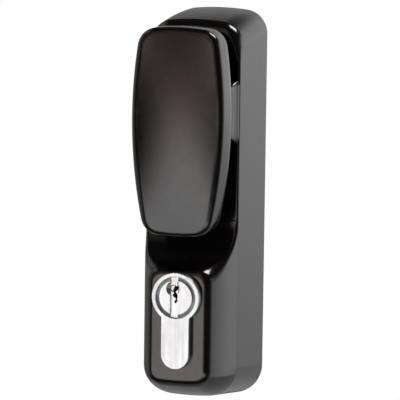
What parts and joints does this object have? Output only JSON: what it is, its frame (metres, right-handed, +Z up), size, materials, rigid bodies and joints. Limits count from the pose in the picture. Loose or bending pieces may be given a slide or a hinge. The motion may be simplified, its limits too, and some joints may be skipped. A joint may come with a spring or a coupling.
{
  "type": "knob lockset",
  "caption": "Knob-operated outside lock for an exit door: cast housing with a paddle knob above a Euro-profile key cylinder, with a clutch and spindle socket inside.",
  "frame": {"origin": "middle of the back face that lies on the door", "axes": "+X to the right seen from outside the door, +Y into the door, +Z up"},
  "size_m": [0.0332, 0.0475, 0.134],
  "materials": {
    "bronze_paint": "gloss dark bronze paint on a zinc casting",
    "nickel": "satin nickel plate",
    "zinc_steel": "zinc plated steel",
    "dark_steel": "blackened steel",
    "spring_steel": "drawn spring wire",
    "brass": "turned",
    "bearing_bronze": "sintered bronze"
  },
  "bodies": {
    "housing_set": {"housing": "bronze_paint", "back_plate": "zinc_steel", "back_plate_screws": "dark_steel", "knob_bush": "bearing_bronze", "spring_anchors": "dark_steel", "return_spring": "spring_steel", "slide_guide": "zinc_steel", "guide_screws": "dark_steel", "cylinder_body": "nickel", "driver_pins": "brass", "pin_springs": "spring_steel", "chamber_plugs": "brass", "cylinder_screw": "dark_steel"},
    "knob_set": {"knob": "bronze_paint", "thrust_washer": "zinc_steel", "knob_circlip": "dark_steel", "driver_disc": "zinc_steel", "driver_screw": "dark_steel"},
    "follower_set": {"follower": "zinc_steel", "spring_pegs": "dark_steel", "clutch_pin_spring": "spring_steel"},
    "clutch_pin_set": {"clutch_pin": "brass"},
    "slide_set": {"clutch_slide": "zinc_steel"},
    "plug_set": {"cylinder_plug": "nickel", "key_pins": "brass", "cylinder_cam": "dark_steel", "cam_circlip": "dark_steel"}
  },
  "joints": [
    {"name": "knob_turn", "type": "hinge", "parent": "housing_set", "child": "knob_set", "pos_m": [0, -0.03, 0.0342], "axis": [0, -1, 0], "range_deg": [-45, 45], "stiffness_Nm_per_rad": 0.25, "deforming": ["return_spring"]},
    {"name": "follower_turn", "type": "hinge", "parent": "housing_set", "child": "follower_set", "pos_m": [0, -0.008, 0.0342], "axis": [0, -1, 0], "range_deg": [-45, 45]},
    {"name": "key_turn", "type": "hinge", "parent": "housing_set", "child": "plug_set", "pos_m": [0, -0.02, -0.028], "axis": [0, 1, 0], "range_deg": [0, 90]},
    {"name": "slide_move", "type": "slide", "parent": "housing_set", "child": "slide_set", "axis": [0, 0, -1], "range_m": [0, 0.01202]},
    {"name": "clutch_pin_move", "type": "slide", "parent": "follower_set", "child": "clutch_pin_set", "axis": [0, 0, -1], "range_m": [0, 0.003], "deforming": ["clutch_pin_spring"]}
  ],
  "couplings": [
    {"joint": "follower_turn", "follows": "knob_turn", "ratio": 1},
    {"joint": "slide_move", "follows": "key_turn", "m_per_rad": 0.0076527},
    {"joint": "clutch_pin_move", "follows": "key_turn", "m_per_rad": 0.0019099}
  ]
}
